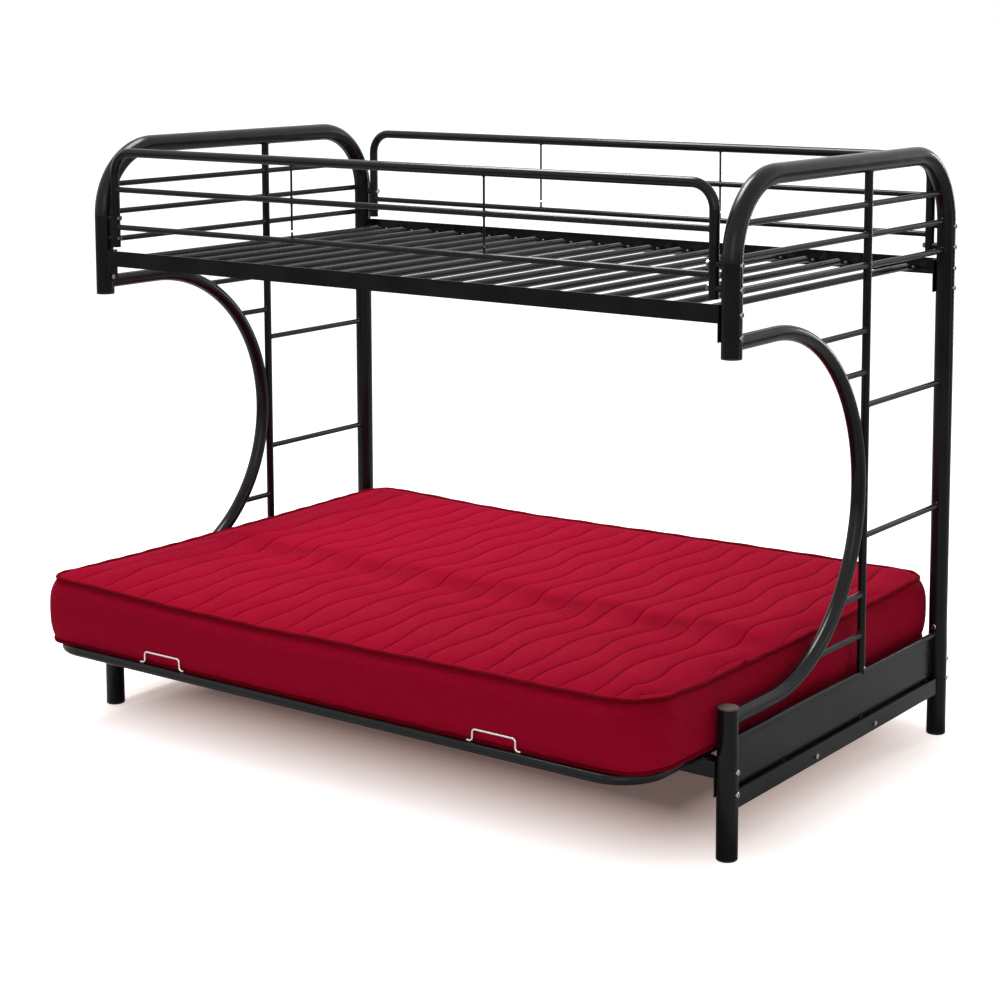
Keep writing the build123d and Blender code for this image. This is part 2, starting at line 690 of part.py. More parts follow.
hinge_eye_radius = deck_radius - touch_gap
hinge_toe_radius = hinge_eye_radius - hinge_plate_taper
pin_hole = hinge_pin_diameter + 2 * hinge_clearance
seat_plate_x = deck_half_width + deck_radius + touch_gap
back_plate_x = deck_half_width - deck_radius - touch_gap - hinge_plate_thickness
eye = (hinge_y, deck_height, hinge_eye_radius)
seat_plate = hinge_plate(
    seat_plate_x,
    [
        eye,
        (hinge_y - hinge_plate_reach, deck_height, hinge_toe_radius),
        (hinge_y, slot_height, hinge_toe_radius),
    ],
)
seat_plate_face = seat_plate_x + hinge_plate_thickness
seat_plate -= across(seat_plate_x, seat_plate_face, hinge_y, deck_height, pin_hole)
seat_plate -= across(seat_plate_x, seat_plate_face, hinge_y, slot_height, stud_end_diameter)
back_plate = hinge_plate(back_plate_x, [eye, (hinge_y + hinge_plate_reach, deck_height, hinge_toe_radius)])
back_plate_face = back_plate_x + hinge_plate_thickness
back_plate -= across(back_plate_x, back_plate_face, hinge_y, deck_height, pin_hole)
back_plate -= across(
    back_plate_x, back_plate_face, hinge_y + cross_tube_offset, deck_height, cross_tube_diameter + 2 * touch_gap
)
save("seat_hinge_plates", *both_ends(seat_plate))
save("back_hinge_plates", *both_ends(back_plate))

# Hinge pins with their spacers, and the studs with the glides that run in the guides
pin_head_end = seat_plate_face + hinge_head_height
pin_nut_end = back_plate_x - touch_gap - hinge_head_height
hinge_pin = across(seat_plate_face, pin_head_end, hinge_y, deck_height, hinge_head_diameter)
hinge_pin += across(pin_nut_end, back_plate_x - touch_gap, hinge_y, deck_height, hinge_head_diameter)
hinge_pin += across(pin_nut_end, seat_plate_face, hinge_y, deck_height, hinge_pin_diameter)
hinge_spacer = across(
    back_plate_face + touch_gap, seat_plate_x, hinge_y, deck_height, hinge_spacer_diameter, pin_hole
)
glide_inner = guide_inner - touch_gap - glide_flange_thickness
glide_outer = channel_back + touch_gap + glide_flange_thickness
glide = across(glide_inner, glide_outer, hinge_y, slot_height, glide_diameter, stud_end_diameter)
for flange_start in (glide_inner, channel_back + touch_gap):
    flange_end = flange_start + glide_flange_thickness
    glide += across(flange_start, flange_end, hinge_y, slot_height, glide_flange_diameter, stud_end_diameter)
stud = across(seat_plate_face, glide_inner, hinge_y, slot_height, stud_diameter)
stud += across(seat_plate_x - stud_head_height, glide_outer, hinge_y, slot_height, stud_end_diameter)
stud += across(seat_plate_x - stud_head_height, seat_plate_x, hinge_y, slot_height, stud_diameter)
save("hinge_pins", *both_ends(hinge_pin))
save("hinge_spacers", *both_ends(hinge_spacer))
save("guide_studs", *both_ends(stud))
save("guide_glides", *both_ends(glide))

# Wire retainers, welded on top of the front tube
retainer_low = deck_top + retainer_wire / 2
retainer_high = retainer_low + retainer_height
retainers = []
for share in retainer_shares:
    x = share * deck_half_width
    half = retainer_width / 2
    wire_points = [
        (x - half - retainer_foot, seat_front_y, retainer_low),
        (x - half, seat_front_y, retainer_low),
        (x - half, seat_front_y, retainer_high),
        (x + half, seat_front_y, retainer_high),
        (x + half, seat_front_y, retainer_low),
        (x + half + retainer_foot, seat_front_y, retainer_low),
    ]
    retainers.append(bent(wire_points, retainer_bend, retainer_wire))
save("mattress_retainers", *retainers)

# Mattress: crowned, with bulged sides and quilted rows that run from front to back
mattress_low = deck_top + touch_gap
mattress_high = mattress_low + mattress_thickness
mattress_half = mattress_length / 2
mattress_depth = mattress_rear_y - mattress_front_y
middle_z = mattress_low + mattress_thickness / 2
middle_y = (mattress_front_y + mattress_rear_y) / 2
reach = mattress_bulge + overrun


def end_outline():
    """The mattress seen from its front: bulged ends, and one low arc for each quilted row."""
    row_width = mattress_length / quilt_rows
    low = mattress_low - overrun
    bulge_x = mattress_half + mattress_bulge
    outline = Line((-mattress_half, mattress_low), (-mattress_half, low))
    outline += Line((-mattress_half, low), (mattress_half, low))
    outline += Line((mattress_half, low), (mattress_half, mattress_low))
    outline += ThreePointArc((mattress_half, mattress_low), (bulge_x, middle_z), (mattress_half, mattress_high))
    for index in range(quilt_rows):
        row_start = mattress_half - index * row_width
        row_end = row_start - row_width
        crest = ((row_start + row_end) / 2, mattress_high + quilt_rise)
        outline += ThreePointArc((row_start, mattress_high), crest, (row_end, mattress_high))
    outline += ThreePointArc((-mattress_half, mattress_high), (-bulge_x, middle_z), (-mattress_half, mattress_low))
    return make_face(outline)


def side_outline():
    """The mattress seen from its end: a flat bottom, bulged front and rear, and a crowned top."""
    crown_z = mattress_high + mattress_crown + 2 * quilt_rise
    front_low = (mattress_front_y, mattress_low)
    front_high = (mattress_front_y, mattress_high)
    rear_low = (mattress_rear_y, mattress_low)
    rear_high = (mattress_rear_y, mattress_high)
    outline = Line(front_low, rear_low)
    outline += ThreePointArc(rear_low, (mattress_rear_y + mattress_bulge, middle_z), rear_high)
    outline += ThreePointArc(rear_high, (middle_y, crown_z), front_high)
    outline += ThreePointArc(front_high, (mattress_front_y - mattress_bulge, middle_z), front_low)
    return make_face(outline)


crown_path = ThreePointArc(
    (0, mattress_front_y - reach, 0), (0, middle_y, mattress_crown), (0, mattress_rear_y + reach, 0)
)
mattress = sweep(Plane(origin=crown_path @ 0, x_dir=(1, 0, 0), z_dir=-(crown_path % 0)) * end_outline(), path=crown_path)
mattress &= extrude(Plane.YZ * side_outline(), amount=mattress_half + reach, both=True)
plan = RectangleRounded(
    mattress_length + 2 * mattress_bulge, mattress_depth + 2 * mattress_bulge, mattress_corner_radius
)
mattress &= Pos(0, middle_y, mattress_low) * extrude(plan, amount=mattress_thickness + reach)

# The fold: a wedge above the hinge line, which closes as the back comes up
wedge_rise = mattress_high + reach - deck_height
wedge_half = wedge_rise * tan(radians(fold_angle / 2 + fold_margin_angle))
wedge_outline = Polyline(
    (hinge_y, deck_height),
    (hinge_y + wedge_half, deck_height + wedge_rise),
    (hinge_y - wedge_half, deck_height + wedge_rise),
    close=True,
)
wedge = extrude(Plane.YZ * make_face(wedge_outline), amount=mattress_half + reach, both=True)
pad_x = (-mattress_half - reach, mattress_half + reach)
pad_height = (deck_height, deck_height + wedge_rise)
front_half = block(pad_x, (mattress_front_y - reach, hinge_y), pad_height)
rear_half = block(pad_x, (hinge_y, mattress_rear_y + reach), pad_height)
save("mattress_seat", (mattress & front_half) - wedge)
save("mattress_back", (mattress & rear_half) - wedge)
save("mattress_fold", mattress & wedge)
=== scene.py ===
import json
from math import cos, exp, hypot, pi, radians, sin, sqrt

import bmesh
import bpy
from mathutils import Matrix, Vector


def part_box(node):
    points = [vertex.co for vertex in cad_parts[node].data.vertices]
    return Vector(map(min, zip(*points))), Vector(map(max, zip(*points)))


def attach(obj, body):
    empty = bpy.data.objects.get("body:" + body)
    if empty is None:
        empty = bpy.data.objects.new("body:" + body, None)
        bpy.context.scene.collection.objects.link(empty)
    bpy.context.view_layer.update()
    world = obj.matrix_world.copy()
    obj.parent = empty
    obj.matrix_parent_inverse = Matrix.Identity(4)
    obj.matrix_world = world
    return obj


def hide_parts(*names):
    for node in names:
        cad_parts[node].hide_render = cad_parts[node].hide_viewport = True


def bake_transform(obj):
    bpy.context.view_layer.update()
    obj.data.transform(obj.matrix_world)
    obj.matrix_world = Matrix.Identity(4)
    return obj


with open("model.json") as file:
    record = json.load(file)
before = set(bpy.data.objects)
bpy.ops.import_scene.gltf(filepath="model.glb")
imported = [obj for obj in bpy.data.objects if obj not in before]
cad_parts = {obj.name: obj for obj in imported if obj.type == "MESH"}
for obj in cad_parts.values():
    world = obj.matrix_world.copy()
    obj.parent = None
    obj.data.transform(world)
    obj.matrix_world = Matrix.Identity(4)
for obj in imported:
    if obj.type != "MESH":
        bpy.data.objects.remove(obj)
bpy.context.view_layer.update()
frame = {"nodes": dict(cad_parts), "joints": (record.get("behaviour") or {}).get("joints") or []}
nodes = frame["nodes"]


# The end frames: arches, legs, side arcs, ladder stiles and rungs. Round steel tube, bent and
# welded, with a small bead round each joint, then powder coated satin black. The coat is a little
# uneven and finely pebbled.
post_radius = 0.0254
arc_tube_radius = 0.01905
stile_radius = 0.0111
rung_radius = 0.00795
arch_bend_radius = 0.195
inner_rung_share = 0.7313        # of the height of the outer short rungs from the arc's middle
leg_taper = 0.0003               # by which a leg is still wider than its post at the lower end tube
bead_radius = 0.0021
bead_points = 26
bead_search_steps = 12
bead_ripple_share = 0.16
bead_ripples = 9
bead_ripple_phase = 40           # radians for a metre of height
bead_drift_share = 0.10
bead_drifts = 4
bead_drift_phase = 9             # radians for a metre of depth
up = Vector((0, 0, 1))
down = Vector((0, 0, -1))
backward = Vector((0, 1, 0))
forward = Vector((0, -1, 0))
sideways = Vector((1, 0, 0))


def grey(level):
    """A neutral colour."""
    return (level, level, level, 1)


def tuned(tree, kind, **settings):
    """Add a node, and set its sockets or its own properties by name, with _ for a space."""
    node = tree.nodes.new(kind)
    for name, value in settings.items():
        socket = name.replace("_", " ")
        if socket in node.inputs:
            node.inputs[socket].default_value = value
        else:
            setattr(node, name, value)
    return node


def fed(tree, node, **sources):
    """Link other nodes' outputs to a node's sockets by name, with _ for a space."""
    for name, source in sources.items():
        tree.links.new(source, node.inputs[name.replace("_", " ")])
    return node


def mixed(tree, low, high, share):
    """Mix two colours, each a value or another node's output, and give the output of the mix."""
    node = fed(tree, tuned(tree, "ShaderNodeMix", data_type="RGBA"), Factor=share)
    places = [socket for socket in node.inputs if socket.type == "RGBA"]
    for socket, colour in zip(places, (low, high)):
        if isinstance(colour, tuple):
            socket.default_value = colour
        else:
            tree.links.new(colour, socket)
    return next(socket for socket in node.outputs if socket.type == "RGBA")


def new_material(name):
    """A material with its node tree and its shader."""
    material = bpy.data.materials.new(name)
    material.use_nodes = True
    return material, material.node_tree, material.node_tree.nodes["Principled BSDF"]


def surface_grain():
    """A node group: a fine grain in Height, and broad cloudy patches in Patches."""
    group = bpy.data.node_groups.new("surface grain", "ShaderNodeTree")
    for name in ("Grain Scale", "Patch Scale"):
        group.interface.new_socket(name, in_out="INPUT", socket_type="NodeSocketFloat")
    for name in ("Height", "Patches"):
        group.interface.new_socket(name, in_out="OUTPUT", socket_type="NodeSocketFloat")
    inside = group.nodes.new("NodeGroupInput")
    outside = group.nodes.new("NodeGroupOutput")
    place = group.nodes.new("ShaderNodeTexCoord").outputs["Object"]
    grain = tuned(group, "ShaderNodeTexNoise", Detail=3.0, Roughness=0.6)
    patches = tuned(group, "ShaderNodeTexNoise", Detail=2.0, Roughness=0.5)
    fed(group, grain, Vector=place, Scale=inside.outputs["Grain Scale"])
    fed(group, patches, Vector=place, Scale=inside.outputs["Patch Scale"])
    fed(group, outside, Height=grain.outputs["Fac"], Patches=patches.outputs["Fac"])
    return group


grain_group = surface_grain()


def grained_finish(
    name, dark, light, roughness, grain_scale, grain_depth, patch_scale=9.0, metallic=0.0, specular=0.5
):
    """A hard finish: its colour and gloss drift between two values, over a fine grain."""
    material, tree, shader = new_material(name)
    shader.inputs["Metallic"].default_value = metallic
    shader.inputs["Specular IOR Level"].default_value = specular
    grain = tree.nodes.new("ShaderNodeGroup")
    grain.node_tree = grain_group
    grain.inputs["Grain Scale"].default_value = grain_scale
    grain.inputs["Patch Scale"].default_value = patch_scale
    patches = grain.outputs["Patches"]
    dull, bright = roughness[1], roughness[0]
    gloss = tuned(tree, "ShaderNodeMapRange", From_Min=0.3, From_Max=0.7, To_Min=bright, To_Max=dull)
    bump = tuned(tree, "ShaderNodeBump", Strength=1.0, Distance=grain_depth)
    fed(tree, gloss, Value=patches)
    fed(tree, bump, Height=grain.outputs["Height"])
    colour = mixed(tree, dark, light, patches)
    fed(tree, shader, Base_Color=colour, Roughness=gloss.outputs["Result"], Normal=bump.outputs["Normal"])
    return material


def finish_nodes(material, *names):
    """Give the CAD pieces whose names start with these words their finish."""
    for name, piece in nodes.items():
        if name.startswith(names):
            for place in piece.material_slots:
                place.material = material


def placed(name, mesh, material, body="frame"):
    """Put a finished mesh in the scene as a piece that rides on one of the bodies."""
    piece = bpy.data.objects.new(name, mesh)
    bpy.context.scene.collection.objects.link(piece)
    mesh.materials.clear()
    mesh.materials.append(material)
    for face in mesh.polygons:
        face.use_smooth = True
    if body:
        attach(piece, body)
    return piece


def cord_mesh(name, rings, radius, resolution=2):
    """One mesh of closed round cords, each through points with a thickness for each point."""
    curve = bpy.data.curves.new(name, "CURVE")
    curve.dimensions = "3D"
    curve.bevel_depth = radius
    curve.bevel_resolution = resolution
    for ring in rings:
        spline = curve.splines.new("POLY")
        spline.points.add(len(ring) - 1)
        for place, (point, share) in zip(spline.points, ring):
            place.co = (*point, 1)
            place.radius = share
        spline.use_cyclic_u = True
    holder = bpy.data.objects.new(name + "_curve", curve)
    mesh = bpy.data.meshes.new_from_object(holder)
    bpy.data.objects.remove(holder)
    return mesh


def along(place, axis):
    """A straight tube: gives the point on its centre line that is nearest to another point."""
    return lambda point: place + axis * (point - place).dot(axis)


def round_bend(centre, radius):
    """A tube bent about X: gives the point on its centre line that is nearest to another point."""
    return lambda point: centre + Vector((0, point.y - centre.y, point.z - centre.z)).normalized() * radius


def bead(place, toward, tube_radius, host, host_radius):
    """The weld bead where a thin tube, which leaves place in one direction, meets a host tube."""
    side = toward.orthogonal().normalized()
    other = toward.cross(side)
    ring = []
    for step in range(bead_points):
        angle = 2 * pi * step / bead_points
        point = place + (side * cos(angle) + other * sin(angle)) * tube_radius + toward * host_radius
        for _ in range(bead_search_steps):
            point = point + toward * (host_radius - (point - host(point)).length)
        ripple = bead_ripple_share * sin(bead_ripples * angle + bead_ripple_phase * place.z)
        drift = bead_drift_share * sin(bead_drifts * angle + bead_drift_phase * place.y)
        ring.append((point, 1 + ripple + drift))
    return ring


powder_coat = grained_finish(
    "satin black powder coat", (0.0055, 0.0055, 0.0057, 1), (0.0120, 0.0120, 0.0124, 1), (0.13, 0.25),
    1100, 0.00002, specular=0.22,
)
finish_nodes(powder_coat, "end_arch", "front_leg", "rear_leg", "side_arc", "ladder", "head", "short_rungs")
finish_nodes(powder_coat, "post_sleeves")

arch_low, arch_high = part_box("end_arch_right")
arc_low, arc_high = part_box("side_arc_right")
stile_low, stile_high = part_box("ladder_stile_right")
head_low, head_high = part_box("head_rungs_right")
ladder_low, ladder_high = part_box("ladder_rungs_right")
short_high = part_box("short_rungs_right")[1]
panel_low, panel_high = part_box("panel_top_tube_right")
end_x = arch_high.x - post_radius
front_y = arch_low.y + post_radius
rear_y = arch_high.y - post_radius
arch_z = arch_high.z - post_radius
stile_y = (stile_low.y + stile_high.y) / 2
arc_radius = (arc_high.z - arc_low.z) / 2 - arc_tube_radius
arc_z = (arc_high.z + arc_low.z) / 2
arc_y = arc_high.y - arc_tube_radius - arc_radius
panel_z = (panel_low.z + panel_high.z) / 2
head_heights = [head_low.z + rung_radius, (head_low.z + head_high.z) / 2, head_high.z - rung_radius]
ladder_heights = [ladder_low.z + rung_radius, ladder_high.z - rung_radius]
short_reach = short_high.z - rung_radius - arc_z
short_rises = [share * short_reach for share in (1, inner_rung_share, -inner_rung_share, -1)]

beads = []
for x in (end_x, -end_x):
    stile = along(Vector((x, stile_y, 0)), up)
    for post_y, inward in ((front_y, backward), (rear_y, forward)):
        post = along(Vector((x, post_y, 0)), up)
        bend_centre = Vector((x, post_y + inward.y * arch_bend_radius, arch_z - arch_bend_radius))
        for z in head_heights:
            host = post if z < bend_centre.z else round_bend(bend_centre, arch_bend_radius)
            beads.append(bead(Vector((x, post_y, z)), inward, rung_radius, host, post_radius))
            beads.append(bead(Vector((x, stile_y, z)), -inward, rung_radius, stile, stile_radius))
        beads.append(bead(Vector((x, post_y, panel_z)), inward, rung_radius, post, post_radius + leg_taper))
    rear_post = along(Vector((x, rear_y, 0)), up)
    for z in ladder_heights:
        beads.append(bead(Vector((x, rear_y, z)), forward, rung_radius, rear_post, post_radius))
        beads.append(bead(Vector((x, stile_y, z)), backward, rung_radius, stile, stile_radius))
    side_arc = round_bend(Vector((x, arc_y, arc_z)), arc_radius)
    for rise in short_rises:
        arc_place = Vector((x, arc_y + sqrt(arc_radius**2 - rise**2), arc_z + rise))
        beads.append(bead(arc_place, backward, rung_radius, side_arc, arc_tube_radius))
        beads.append(bead(Vector((x, stile_y, arc_z + rise)), forward, rung_radius, stile, stile_radius))
    front_post = along(Vector((x, front_y, 0)), up)
    for rise in (arc_radius, -arc_radius):
        arc_end = Vector((x, front_y, arc_z + rise))
        beads.append(bead(arc_end, backward, arc_tube_radius, front_post, post_radius))
    top_rail = along(Vector((x, 0, arch_z)), backward)
    beads.append(bead(Vector((x, stile_y, arch_z)), down, stile_radius, top_rail, post_radius))
bead_mesh = cord_mesh("end_frame_weld_beads", beads, bead_radius)
placed("end_frame_weld_beads", bead_mesh, powder_coat)

# Plugs in the open tube ends, feet, rest pads and glides: moulded plastic, pressed in or clipped on.
# The plugs in the front legs' tops are a greyer brown than the rest.
plastic = grained_finish("black moulded plastic", grey(0.010), grey(0.016), (0.42, 0.52), 700, 0.00003)
cap_plastic = grained_finish(
    "grey brown cap plastic", (0.075, 0.060, 0.055, 1), (0.105, 0.088, 0.080, 1), (0.40, 0.50), 700, 0.00003
)
finish_nodes(plastic, "short_post_caps", "leg_feet", "deck_rest_pads", "guide_glides")
finish_nodes(cap_plastic, "front_leg_caps")

# The upper deck: angle rails with welded end plates, and round slats whose ends are pressed flat
# and held down on the rails' flanges by domed screws of blackened steel.
slat_count = 19
slat_pitch = 0.1044
slat_end_z = 1.3041
slat_screw_inset = 0.008
head_sides = 20
dome_profile = (
    (0.0070, 0.0), (0.0070, 0.0010), (0.0062, 0.0030), (0.0046, 0.0046), (0.0024, 0.0056), (0, 0.0060)
)


def heads(name, places, profile, material):
    """Like screw heads as one piece: a profile of radius and height, spun at each place round an axis."""
    shape = bmesh.new()
    for place, axis in places:
        side = axis.orthogonal().normalized()
        line = [shape.verts.new(place + side * radius + axis * height) for radius, height in profile]
        edges = [shape.edges.new(pair) for pair in zip(line, line[1:])]
        bmesh.ops.spin(
            shape, geom=line + edges, cent=place, axis=axis, angle=2 * pi, steps=head_sides, use_merge=True
        )
    bmesh.ops.remove_doubles(shape, verts=shape.verts, dist=0.00001)
    bmesh.ops.recalc_face_normals(shape, faces=shape.faces)
    mesh = bpy.data.meshes.new(name)
    shape.to_mesh(mesh)
    shape.free()
    return placed(name, mesh, material)


slat_steel = grained_finish(
    "black slat screw", grey(0.03), grey(0.09), (0.16, 0.28), 900, 0.00002, patch_scale=60.0, metallic=1.0
)
finish_nodes(powder_coat, "upper")
slat_low, slat_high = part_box("upper_deck_slats")
slat_screws = []
for index in range(slat_count):
    x = (index - (slat_count - 1) / 2) * slat_pitch
    for y in (slat_low.y + slat_screw_inset, slat_high.y - slat_screw_inset):
        slat_screws.append((Vector((x, y, slat_end_z)), up))
heads("slat_screws", slat_screws, dome_profile, slat_steel)

# The guard rails: a bent top tube with two bars and two thin rods welded into it, spaced off the
# posts by tube spacers, and powder coated like the end frames.
guard_radius = 0.0127
guard_rod_radius = 0.003
guard_rod_x = 0.320
guard_bar_heights = (1.507, 1.400)
guard_bead_radius = 0.0016

finish_nodes(powder_coat, "guard_rail", "guard_spacers")
guard_beads = []
for name in ("guard_rail_front", "guard_rail_rear"):
    guard_low, guard_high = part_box(name)
    y = (guard_low.y + guard_high.y) / 2
    guard_x = guard_high.x - guard_radius
    guard_z = guard_high.z - guard_radius
    for side in (1, -1):
        guard_leg = along(Vector((side * guard_x, y, 0)), up)
        guard_top = along(Vector((0, y, guard_z)), sideways)
        for z in guard_bar_heights:
            bar_end = Vector((side * guard_x, y, z))
            guard_beads.append(bead(bar_end, -side * sideways, rung_radius, guard_leg, guard_radius))
            guard_bar = along(Vector((0, y, z)), sideways)
            for away in (up, down):
                if away.z > 0 or z > min(guard_bar_heights):
                    rod_place = Vector((side * guard_rod_x, y, z))
                    guard_beads.append(bead(rod_place, away, guard_rod_radius, guard_bar, rung_radius))
        rod_top = Vector((side * guard_rod_x, y, guard_z))
        guard_beads.append(bead(rod_top, down, guard_rod_radius, guard_top, guard_radius))
guard_bead_mesh = cord_mesh("guard_weld_beads", guard_beads, guard_bead_radius)
placed("guard_weld_beads", guard_bead_mesh, powder_coat)

# Bolts and screws: blackened steel, with polished round heads and hexagon sockets. They clamp the
# guard rails and the rails to the posts and legs, and the guide plates to the lower channels.
bolt_steel = grained_finish(
    "blackened bolt steel", grey(0.34), grey(0.66), (0.08, 0.18), 900, 0.00002, patch_scale=60.0, metallic=1.0
)
finish_nodes(bolt_steel, "guard_bolts", "rail_bolts", "leg_bolts", "sleeve_screws", "guide_bolts")

# The lower end panels: a round top tube, a pressed sheet with a stepped lower edge, and a channel,
# held together by small pan screws along the step, and the lower rails between the legs.
pan_profile = ((0.0039, 0.0), (0.0039, 0.0014), (0.0032, 0.0026), (0.0016, 0.0033), (0, 0.0035))
sheet_strip_x = 1.0272
panel_screw_places = (0.286, 0.698, 1.089)      # behind the front posts
panel_screw_z = 0.1700
stile_screw_z = 0.3030
stile_screw_sink = 0.0008

finish_nodes(powder_coat, "lower", "panel", "guide_plate")
panel_screws = []
for side in (1, -1):
    outward = side * sideways
    for place in panel_screw_places:
        panel_screws.append((Vector((side * sheet_strip_x, front_y + place, panel_screw_z)), outward))
    stile_face = side * (end_x + stile_radius - stile_screw_sink)
    panel_screws.append((Vector((stile_face, stile_y, stile_screw_z)), outward))
heads("panel_screws", panel_screws, pan_profile, bolt_steel)

# The futon deck: two bent tube frames with slats, joined by hinge plates on pins, all powder
# coated, with studs that run in the guides, and two chromed wires that stop the mattress.
chrome = grained_finish(
    "chromed wire", (0.74, 0.72, 0.71, 1), (0.82, 0.80, 0.79, 1), (0.12, 0.20), 500, 0.00001,
    patch_scale=30.0, metallic=1.0,
)
finish_nodes(powder_coat, "seat_deck", "back_deck", "seat_hinge", "back_hinge")
finish_nodes(bolt_steel, "hinge_pins", "hinge_spacers", "guide_studs")
finish_nodes(chrome, "mattress_retainers")

# The futon mattress: a red cloth cover, quilted in wavy lines from front to back over a
# fibre filling, and sewn to a wall strip with piped seams. It has taken on the fold of the deck,
# as a ridge with a puckered valley in front of it, and its rear edge sags between the slats.
thickness = 0.167                # between the piped seams
wall_bulge = 0.020
corner_bulge = 0.006
bottom_outset = 0.009            # of the lower seam beyond the upper
seam_corner_radii = {(1, -1): 0.118, (-1, -1): 0.060, (1, 1): 0.068, (-1, 1): 0.085}
welt_radius = 0.0062
welt_outset = 0.002
edge_run = 0.105                 # over which the top rises from its seam
front_edge_run = 0.20
far_edge_run = 0.175
edge_zone = 0.25                 # from the front, rear or left seam, and how the zone fades out
zone_fade = 0.10
zone_end_fade = 0.20
end_lift = 0.006
right_drop = 0.002
line_count = 24
middle_line = 12
middle_line_x = 0.028
line_pitch = 0.0809
pitch_growth = 0.000145
line_swing = 0.0127
wave_length = 0.356
wave_crest = 0.5667              # behind the front posts
crest_sway = 0.080
line_end_gap = 0.004
puff_rise = 0.0105
puff_power = 0.55
puff_level_share = 0.35
puff_fade = 0.03
far_puff_fade = 0.08
valley_depth = 0.0100
valley_offset = 0.128            # in front of the hinge line
valley_width = 0.046
valley_sway = 0.016
valley_fade = 0.05
diamond_rows = 4
diamond_share = 0.38
diamond_phase = 0.8
# painted shade: these place a darkened band in the cloth's colour on the slope from the ridge down into the
# valley, standing in for that slope's shade
shade_offset = 0.072               # in front of the hinge line
shade_length = 0.150
shade_sway = 0.013
shade_phase = 2.2
shade_rise_share = 0.15
shade_fall_power = 0.7
shade_row_power = 0.8
shade_wave_share = 0.25
shade_fade = 0.08
shade_row_fade_share = 0.022
sink_depth = 0.0045
sink_start = 0.06
sink_run = 0.04
relief_height = 0.014
relief_reach = 0.17
hem_run = 0.05
hem_overhang = 0.03
groove_offset = 0.072            # of the wall strip's joint at the right end, before the hinge line
groove_depth = 0.004
groove_width = 0.006
join_offset = 0.262              # of the tucked ends of the piping, before the hinge line
join_width = 0.014
join_lift = 0.004
join_swell_share = 0.5
welt_wobbles = ((0.0007, 0.9, 0), (0.0005, 0.37, 1))     # size, radians a point, phase
column_shares = (0.0, 0.025, 0.07, 0.16, 0.32, 0.5, 0.68, 0.84, 0.93, 0.975)
rows_across = 160
wall_rows = 14
corner_steps = 14
side_steps = 110

seat_low, seat_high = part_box("mattress_seat")
back_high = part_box("mattress_back")[1]
half_length = seat_high.x - wall_bulge
mattress_front = seat_low.y + wall_bulge
mattress_rear = back_high.y - wall_bulge
middle_y = (mattress_front + mattress_rear) / 2
half_depth = (mattress_rear - mattress_front) / 2
low_z = seat_low.z
high_z = low_z + thickness
hinge = next(joint for joint in frame["joints"] if joint["name"] == "back_fold")
hinge_y, hinge_z = hinge["pos_m"][1:]
column_count = (line_count + 1) * len(column_shares)

# height of the top's quilting lines above the upper seam, by distance behind the hinge line
top_profile = (
    (-0.706, 0.0170), (-0.641, 0.0165), (-0.576, 0.0158), (-0.511, 0.0155), (-0.446, 0.0149),
    (-0.381, 0.0141), (-0.316, 0.0133), (-0.251, 0.0117), (-0.186, 0.0113), (-0.121, 0.0182),
    (-0.056, 0.0241), (0.009, 0.0217), (0.074, 0.0203), (0.139, 0.0193), (0.204, 0.0184),
    (0.269, 0.0180), (0.334, 0.0177), (0.399, 0.0170), (0.464, 0.0166), (0.529, 0.0166),
    (0.594, 0.0175), (0.659, 0.0190), (0.724, 0.0200),
)
# rise of the front and rear upper seams along the bed, and of the right one from front to rear
front_profile = (
    (-0.989, 0.009), (-0.905, 0.0065), (-0.775, 0.004), (-0.645, 0.0), (-0.515, -0.0045), (-0.385, -0.005),
    (-0.22, -0.0075), (-0.06, -0.005), (0.07, -0.003), (0.20, -0.0035), (0.33, -0.001), (0.46, 0.0),
    (0.72, 0.001), (0.85, 0.0025), (0.989, 0.004),
)
rear_profile = (
    (-0.989, 0.005), (-0.90, 0.004), (-0.45, -0.007), (-0.12, -0.004), (0.20, 0.0015), (0.60, 0.006),
    (0.989, 0.006),
)
side_profile = (
    (-0.72, 0.004), (-0.61, 0.002), (-0.54, -0.002), (-0.47, -0.0065), (-0.33, -0.005), (-0.12, -0.005),
    (0.10, -0.0045), (0.30, -0.005), (0.60, -0.004), (0.73, 0.003),
)


def held(value):
    """A value held between 0 and 1."""
    return min(max(value, 0), 1)


def smooth_between(table, value):
    """A smooth curve through a table of places and heights."""
    value = min(max(value, table[0][0]), table[-1][0])
    index = max(i for i, (place, _) in enumerate(table[:-1]) if place <= value)
    (start, low), (end, high) = table[index], table[index + 1]
    before = table[max(index - 1, 0)]
    after = table[min(index + 2, len(table) - 1)]
    run = end - start
    leave = (high - before[1]) / (end - before[0]) * run
    arrive = (after[1] - low) / (after[0] - start) * run
    t = (value - start) / run
    return (
        low * (1 + 2 * t) * (1 - t) ** 2 + leave * t * (1 - t) ** 2
        + high * t**2 * (3 - 2 * t) + arrive * t**2 * (t - 1)
    )


def line_x(index, y):
    """Where a quilting line lies at y. Before the first and after the last come the mattress's ends."""
    if index < 0:
        return half_length
    if index >= line_count:
        return -half_length
    step = index - middle_line
    crest = front_y + wave_crest + crest_sway * cos(index * pi / 2)
    wave = line_swing * cos(2 * pi * (y - crest) / wave_length)
    return min(middle_line_x - line_pitch * step - pitch_growth * step**2 + wave, half_length - line_end_gap)


def cover_column(column, y):
    """Where a column of the cover lies at y: its x, its row and share of the row, and the row's width."""
    row, step = divmod(column, len(column_shares))
    share = column_shares[step]
    right = line_x(row - 1, y)
    left = line_x(row, y) if row <= line_count else right
    return right + (left - right) * share, row + share, abs(right - left)


